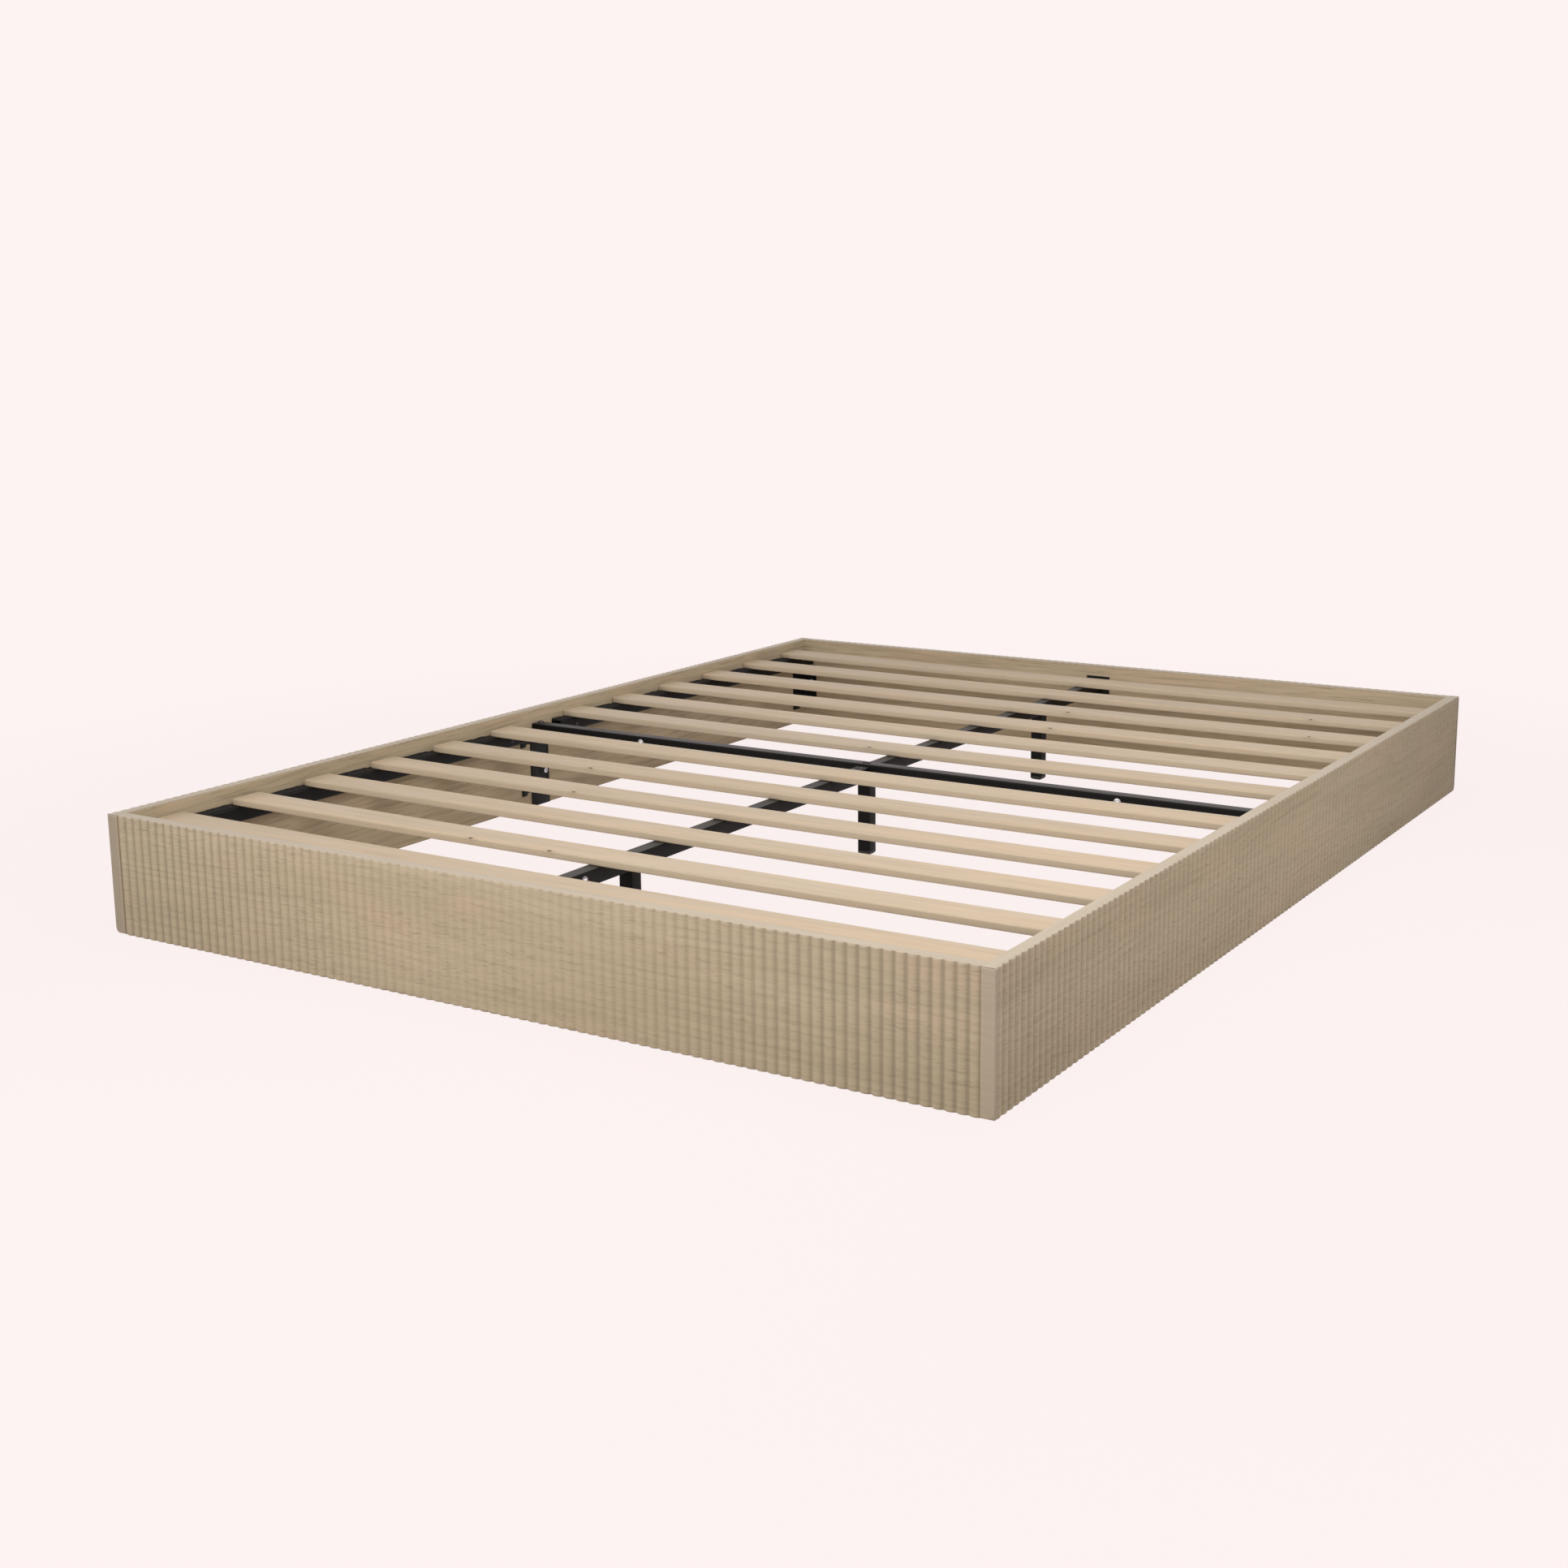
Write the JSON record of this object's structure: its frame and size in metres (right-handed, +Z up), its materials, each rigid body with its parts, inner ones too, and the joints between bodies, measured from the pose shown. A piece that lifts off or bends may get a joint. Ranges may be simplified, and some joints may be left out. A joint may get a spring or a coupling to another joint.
{
  "type": "floor bed frame",
  "caption": "Low floor bed frame: fluted wooden side and end panels, black steel rails and middle beam on short legs, and a base of loose wooden slats.",
  "frame": {"origin": "on the floor, under the middle of the bed's plan outline", "axes": "+Z up, +Y along the bed's length towards the back panel, +X across the width towards the right side"},
  "size_m": [1.585, 2.08, 0.198],
  "materials": {
    "fluted_wood": "matt",
    "edge_band": "matt",
    "slat_wood": "satin",
    "black_steel": "satin",
    "felt": "fuzzy",
    "foot_plastic": "matt",
    "zinc": "satin"
  },
  "bodies": {
    "bed_frame": {"back_edge_band": "edge_band", "back_panel": "fluted_wood", "beam_bracket_front": "black_steel", "beam_bracket_rear": "black_steel", "bracket_bolts": "zinc", "centre_beam_front": "black_steel", "centre_beam_rear": "black_steel", "corner_bracket_left_front": "black_steel", "corner_bracket_left_rear": "black_steel", "corner_bracket_right_front": "black_steel", "corner_bracket_right_rear": "black_steel", "crossbar": "black_steel", "crossbar_end_bolts": "black_steel", "crossing_screws": "black_steel", "edge_band_left_front": "edge_band", "edge_band_left_rear": "edge_band", "edge_band_right_front": "edge_band", "edge_band_right_rear": "edge_band", "felt_strip_left_front": "felt", "felt_strip_left_rear": "felt", "felt_strip_right_front": "felt", "felt_strip_right_rear": "felt", "foot_front": "foot_plastic", "foot_middle": "foot_plastic", "foot_rear": "foot_plastic", "front_edge_band": "edge_band", "front_panel": "fluted_wood", "joint_bracket_left": "black_steel", "joint_bracket_right": "black_steel", "ledger_left_front": "black_steel", "ledger_left_rear": "black_steel", "ledger_right_front": "black_steel", "ledger_right_rear": "black_steel", "ledger_screws": "black_steel", "leg_front": "black_steel", "leg_middle": "black_steel", "leg_rear": "black_steel", "nuts": "zinc", "side_panel_left_front": "fluted_wood", "side_panel_left_rear": "fluted_wood", "side_panel_right_front": "fluted_wood", "side_panel_right_rear": "fluted_wood", "through_bolts": "zinc", "washers": "zinc"},
    "slat_01": {"slat_01": "slat_wood"},
    "slat_02": {"slat_02": "slat_wood"},
    "slat_03": {"slat_03": "slat_wood"},
    "slat_04": {"slat_04": "slat_wood"},
    "slat_05": {"slat_05": "slat_wood"},
    "slat_06": {"slat_06": "slat_wood"},
    "slat_07": {"slat_07": "slat_wood"},
    "slat_08": {"slat_08": "slat_wood"},
    "slat_09": {"slat_09": "slat_wood"},
    "slat_10": {"slat_10": "slat_wood"},
    "slat_11": {"slat_11": "slat_wood"},
    "slat_12": {"slat_12": "slat_wood"}
  },
  "joints": [
    {"name": "slat_01_lift", "type": "slide", "parent": "bed_frame", "child": "slat_01", "axis": [0, 0, 1], "range_m": [0, 0.045]},
    {"name": "slat_02_lift", "type": "slide", "parent": "bed_frame", "child": "slat_02", "axis": [0, 0, 1], "range_m": [0, 0.045]},
    {"name": "slat_03_lift", "type": "slide", "parent": "bed_frame", "child": "slat_03", "axis": [0, 0, 1], "range_m": [0, 0.045]},
    {"name": "slat_04_lift", "type": "slide", "parent": "bed_frame", "child": "slat_04", "axis": [0, 0, 1], "range_m": [0, 0.045]},
    {"name": "slat_05_lift", "type": "slide", "parent": "bed_frame", "child": "slat_05", "axis": [0, 0, 1], "range_m": [0, 0.045]},
    {"name": "slat_06_lift", "type": "slide", "parent": "bed_frame", "child": "slat_06", "axis": [0, 0, 1], "range_m": [0, 0.045]},
    {"name": "slat_07_lift", "type": "slide", "parent": "bed_frame", "child": "slat_07", "axis": [0, 0, 1], "range_m": [0, 0.045]},
    {"name": "slat_08_lift", "type": "slide", "parent": "bed_frame", "child": "slat_08", "axis": [0, 0, 1], "range_m": [0, 0.045]},
    {"name": "slat_09_lift", "type": "slide", "parent": "bed_frame", "child": "slat_09", "axis": [0, 0, 1], "range_m": [0, 0.045]},
    {"name": "slat_10_lift", "type": "slide", "parent": "bed_frame", "child": "slat_10", "axis": [0, 0, 1], "range_m": [0, 0.045]},
    {"name": "slat_11_lift", "type": "slide", "parent": "bed_frame", "child": "slat_11", "axis": [0, 0, 1], "range_m": [0, 0.045]},
    {"name": "slat_12_lift", "type": "slide", "parent": "bed_frame", "child": "slat_12", "axis": [0, 0, 1], "range_m": [0, 0.045]}
  ]
}
